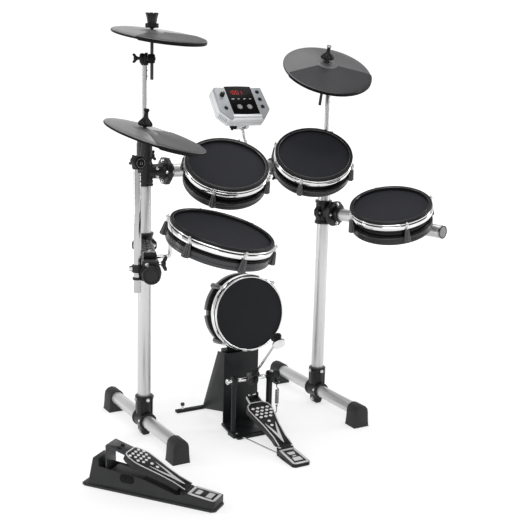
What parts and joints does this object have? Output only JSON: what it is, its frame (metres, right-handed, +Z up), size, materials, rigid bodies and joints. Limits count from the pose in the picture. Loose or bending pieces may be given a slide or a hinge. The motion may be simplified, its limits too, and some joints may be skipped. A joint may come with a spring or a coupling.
{
  "type": "electronic drum kit",
  "caption": "Electronic drum kit: mesh tom, snare and kick pads, rubber cymbal pads, a sound module and pedals on a silver tube rack with swinging arms.",
  "frame": {"origin": "middle of the bounding box's footprint, on the floor", "axes": "+X along the cross bar to the player's right, +Y away from the player, +Z up"},
  "size_m": [1.0342, 0.8156, 1.2124],
  "materials": {
    "satin_tube": "satin",
    "clamp_black": "fine grain",
    "foot_rubber": "matte",
    "chrome_hoop": "polished",
    "rod_steel": "polished",
    "rod_black": "satin",
    "cymbal_rubber": "matte with fine grooves",
    "rim_rubber": "matte",
    "mesh_head": "woven",
    "shell_plastic": "satin",
    "black_steel": "powder coat",
    "board_metal": "satin with a silver pattern",
    "pedal_plastic": "fine grain",
    "beater_felt": "felt and plastic",
    "case_silver": "satin",
    "panel_gloss": "gloss",
    "control_black": "matte",
    "control_grey": "matte"
  },
  "bodies": {
    "rack": {"floor_bars": "satin_tube", "foot_caps": "foot_rubber", "rack_posts": "satin_tube", "cross_bar": "satin_tube", "rack_clamps": "clamp_black", "clamp_bolts": "rod_steel", "tom_clamps": "clamp_black", "tom_rods": "rod_steel", "kick_shell": "shell_plastic", "kick_head": "mesh_head", "kick_hoop": "chrome_hoop", "kick_tower": "black_steel", "pedal_frame": "black_steel", "pedal_spring": "rod_steel", "hihat_pedal_base": "pedal_plastic"},
    "snare_arm": {"snare_arm_tube": "satin_tube", "snare_arm_clamp": "clamp_black", "snare_rod": "rod_steel"},
    "snare": {"snare_shell": "shell_plastic", "snare_head": "mesh_head", "snare_hoop": "chrome_hoop", "snare_rim": "rim_rubber"},
    "side_arm": {"side_arm_tube": "satin_tube", "side_arm_clamp": "clamp_black", "tom3_rod": "rod_steel"},
    "tom1": {"tom1_shell": "shell_plastic", "tom1_head": "mesh_head", "tom1_hoop": "chrome_hoop", "tom1_rim": "rim_rubber"},
    "tom2": {"tom2_shell": "shell_plastic", "tom2_head": "mesh_head", "tom2_hoop": "chrome_hoop", "tom2_rim": "rim_rubber"},
    "tom3": {"tom3_shell": "shell_plastic", "tom3_head": "mesh_head", "tom3_hoop": "chrome_hoop", "tom3_rim": "rim_rubber"},
    "module": {"module_case": "case_silver", "module_panel": "panel_gloss"},
    "volume_knob": {"volume_knob": "control_black"},
    "footboard": {"footboard": "board_metal", "pedal_chain": "rod_steel"},
    "beater": {"pedal_axle": "rod_steel", "beater": "beater_felt"},
    "hihat_footboard": {"hihat_footboard": "board_metal"},
    "hihat_stand": {"hihat_tube": "rod_steel"},
    "hihat_arm": {"hihat_rod": "rod_black"},
    "hihat_cymbal": {"hihat_pad": "cymbal_rubber"},
    "crash_stand": {"crash_tube": "rod_steel"},
    "crash_arm": {"crash_rod": "rod_black"},
    "crash_cymbal": {"crash_pad": "cymbal_rubber"},
    "ride_stand": {"ride_tube": "rod_steel"},
    "ride_arm": {"ride_rod": "rod_black"},
    "ride_cymbal": {"ride_pad": "cymbal_rubber"},
    "button_left": {"button_left": "control_black"},
    "button_top": {"button_top": "control_black"},
    "button_middle": {"button_middle": "control_black"},
    "button_bottom": {"button_bottom": "control_black"},
    "select_button_a": {"select_button_a": "control_grey"},
    "select_button_b": {"select_button_b": "control_grey"}
  },
  "joints": [
    {"name": "snare_arm_swing", "type": "hinge", "parent": "rack", "child": "snare_arm", "pos_m": [-0.22607, 0.1523, 0.57], "axis": [0, 0, 1], "range_deg": [-10, 3]},
    {"name": "snare_tilt", "type": "hinge", "parent": "snare_arm", "child": "snare", "pos_m": [-0.18488, -0.18391, 0.62983], "axis": [-0.9214, 0.3201, 0.2205], "range_deg": [-5, 5]},
    {"name": "side_arm_swing", "type": "hinge", "parent": "rack", "child": "side_arm", "pos_m": [0.38393, 0.1523, 0.63], "axis": [0, 0, 1], "range_deg": [-5, 20]},
    {"name": "tom3_tilt", "type": "hinge", "parent": "side_arm", "child": "tom3", "pos_m": [0.35258, -0.21794, 0.62668], "axis": [0.9308, 0.2024, 0.3045], "range_deg": [-8, 8]},
    {"name": "tom1_tilt", "type": "hinge", "parent": "rack", "child": "tom1", "pos_m": [-0.06764, -0.02147, 0.75046], "axis": [0.989, -0.0752, 0.1274], "range_deg": [-8, 3]},
    {"name": "tom2_tilt", "type": "hinge", "parent": "rack", "child": "tom2", "pos_m": [0.27302, 0.06048, 0.76306], "axis": [0.9648, -0.1433, 0.2205], "range_deg": [-4, 3]},
    {"name": "hihat_height", "type": "slide", "parent": "snare_arm", "child": "hihat_stand", "axis": [0, 0, 1], "range_m": [-0.06, 0.1]},
    {"name": "hihat_tilter", "type": "hinge", "parent": "hihat_stand", "child": "hihat_arm", "pos_m": [-0.38523, -0.16339, 0.8465], "axis": [0.078, -0.9953, -0.0578], "range_deg": [-12, 12]},
    {"name": "hihat_rock", "type": "hinge", "parent": "hihat_arm", "child": "hihat_cymbal", "pos_m": [-0.37696, -0.18727, 0.92297], "axis": [0.7315, 0.6803, -0.0461], "range_deg": [-6, 6], "stiffness_Nm_per_rad": 16, "springref_deg": -0.6},
    {"name": "crash_height", "type": "slide", "parent": "rack", "child": "crash_stand", "axis": [0, 0, 1], "range_m": [-0.08, 0.08]},
    {"name": "crash_tilter", "type": "hinge", "parent": "crash_stand", "child": "crash_arm", "pos_m": [-0.22607, 0.1523, 1.09], "axis": [0.8585, -0.5128, 0], "range_deg": [-15, 15]},
    {"name": "crash_rock", "type": "hinge", "parent": "crash_arm", "child": "crash_cymbal", "pos_m": [-0.2089, 0.14204, 1.16035], "axis": [0.9502, 0.3116, 0.0002], "range_deg": [-6, 6], "stiffness_Nm_per_rad": 16, "springref_deg": -0.65},
    {"name": "ride_height", "type": "slide", "parent": "rack", "child": "ride_stand", "axis": [0, 0, 1], "range_m": [-0.015, 0.08]},
    {"name": "ride_tilter", "type": "hinge", "parent": "ride_stand", "child": "ride_arm", "pos_m": [0.38393, 0.1523, 1.018], "axis": [-0.9393, -0.3057, -0.1559], "range_deg": [-12, 12]},
    {"name": "ride_rock", "type": "hinge", "parent": "ride_arm", "child": "ride_cymbal", "pos_m": [0.35314, 0.1213, 1.08469], "axis": [0.9275, -0.3609, -0.0976], "range_deg": [-6, 6], "stiffness_Nm_per_rad": 16, "springref_deg": -0.66},
    {"name": "module_tilt", "type": "hinge", "parent": "rack", "child": "module", "pos_m": [0.08293, 0.154, 0.9], "axis": [1, 0, 0], "range_deg": [-8, 8]},
    {"name": "volume_turn", "type": "hinge", "parent": "module", "child": "volume_knob", "pos_m": [0.02193, 0.1642, 0.98992], "axis": [0, -0.7478, 0.6639], "range_deg": [-140, 140]},
    {"name": "button_left_press", "type": "slide", "parent": "module", "child": "button_left", "axis": [0, 0.7478, -0.6639], "range_m": [0, 0.0015], "stiffness_N_per_m": 1000, "springref_m": -0.0008},
    {"name": "button_top_press", "type": "slide", "parent": "module", "child": "button_top", "axis": [0, 0.7478, -0.6639], "range_m": [0, 0.0015], "stiffness_N_per_m": 1000, "springref_m": -0.0008},
    {"name": "button_middle_press", "type": "slide", "parent": "module", "child": "button_middle", "axis": [0, 0.7478, -0.6639], "range_m": [0, 0.0015], "stiffness_N_per_m": 1000, "springref_m": -0.0008},
    {"name": "button_bottom_press", "type": "slide", "parent": "module", "child": "button_bottom", "axis": [0, 0.7478, -0.6639], "range_m": [0, 0.0015], "stiffness_N_per_m": 1000, "springref_m": -0.0008},
    {"name": "select_button_a_press", "type": "slide", "parent": "module", "child": "select_button_a", "axis": [0, 0.7478, -0.6639], "range_m": [0, 0.0015], "stiffness_N_per_m": 1000, "springref_m": -0.0008},
    {"name": "select_button_b_press", "type": "slide", "parent": "module", "child": "select_button_b", "axis": [0, 0.7478, -0.6639], "range_m": [0, 0.0015], "stiffness_N_per_m": 1000, "springref_m": -0.0008},
    {"name": "kick_pedal", "type": "hinge", "parent": "rack", "child": "footboard", "pos_m": [0.06243, -0.1736, 0.024], "axis": [-1, 0, 0], "range_deg": [0, 10.5], "stiffness_Nm_per_rad": 6, "springref_deg": -20.05, "deforming": ["pedal_chain"]},
    {"name": "beater_swing", "type": "hinge", "parent": "rack", "child": "beater", "pos_m": [0.06243, 0.0196, 0.17], "axis": [-1, 0, 0], "range_deg": [0, 52.5], "deforming": ["pedal_spring"]},
    {"name": "hihat_pedal", "type": "hinge", "parent": "rack", "child": "hihat_footboard", "pos_m": [-0.31447, -0.3166, 0.033], "axis": [-0.8, -0.6, 0], "range_deg": [0, 7], "stiffness_Nm_per_rad": 15, "springref_deg": -17.19}
  ],
  "couplings": [
    {"joint": "beater_swing", "follows": "kick_pedal", "ratio": 5}
  ]
}
